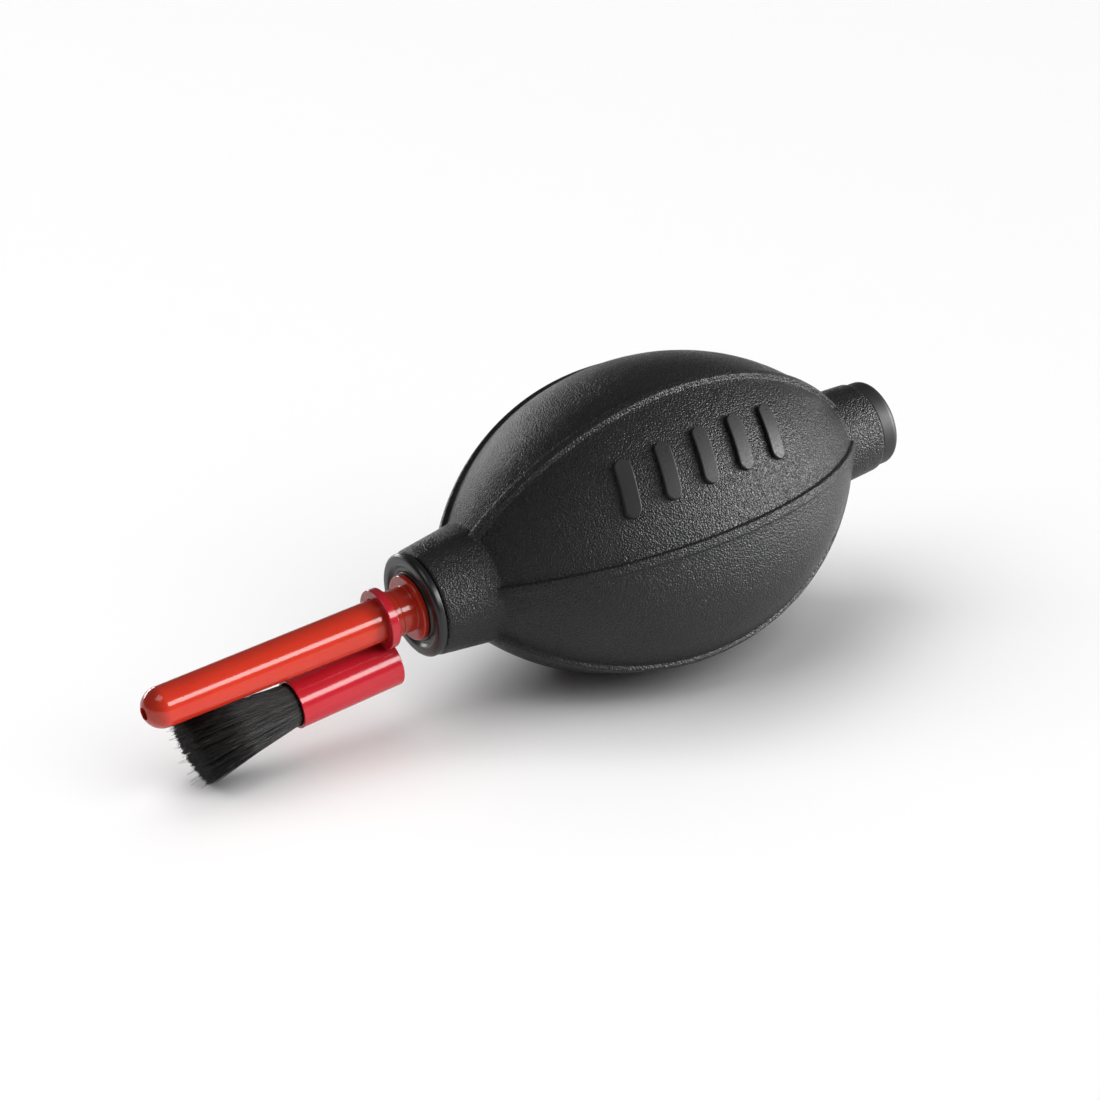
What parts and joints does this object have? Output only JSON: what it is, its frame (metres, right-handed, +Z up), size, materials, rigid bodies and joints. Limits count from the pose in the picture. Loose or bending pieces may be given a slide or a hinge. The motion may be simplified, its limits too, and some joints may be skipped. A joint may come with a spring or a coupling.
{
  "type": "dust blower bulb",
  "caption": "Squeeze-bulb dust blower with a ribbed rubber bulb, a turning nozzle and a soft brush that slides along the nozzle.",
  "frame": {"origin": "on the table under the middle of the whole length, with the blower lying on its belly and its brush tip", "axes": "+Z up from the table, +X along the blower's length from the nozzle tip towards the inlet valve; the tool axis leans 5.86 degrees nozzle down"},
  "size_m": [0.1728, 0.063, 0.0629],
  "materials": {
    "bulb_rubber": "fine leather-grained black rubber",
    "bush_plastic": "smooth black moulded plastic",
    "plug_plastic": "smooth black moulded plastic",
    "nozzle_red": "glossy orange-red moulded plastic",
    "carrier_red": "glossy crimson-red moulded plastic",
    "bristles": "fine black brush hair",
    "thread": "waxed linen thread",
    "resin": "clear amber setting resin",
    "flap_rubber": "thin grey valve rubber",
    "cage_plastic": "natural white moulded plastic"
  },
  "bodies": {
    "blower": {"bulb": "bulb_rubber", "front_bush": "bush_plastic", "inlet_plug": "plug_plastic", "flap_cage": "cage_plastic"},
    "nozzle": {"nozzle": "nozzle_red"},
    "brush": {"brush_carrier": "carrier_red", "tuft_resin": "resin", "tuft_thread": "thread", "bristle_tuft": "bristles"},
    "flap": {"inlet_flap": "flap_rubber"}
  },
  "joints": [
    {"name": "nozzle_turn", "type": "hinge", "parent": "blower", "child": "nozzle", "pos_m": [-0.02595, 0, 0.02576], "axis": [0.9948, 0, 0.1021], "continuous": true},
    {"name": "brush_slide", "type": "slide", "parent": "nozzle", "child": "brush", "axis": [-0.9948, 0, -0.1021], "range_m": [0, 0.036]},
    {"name": "flap_lift", "type": "slide", "parent": "blower", "child": "flap", "axis": [-0.9948, 0, -0.1021], "range_m": [0, 0.0008]}
  ]
}
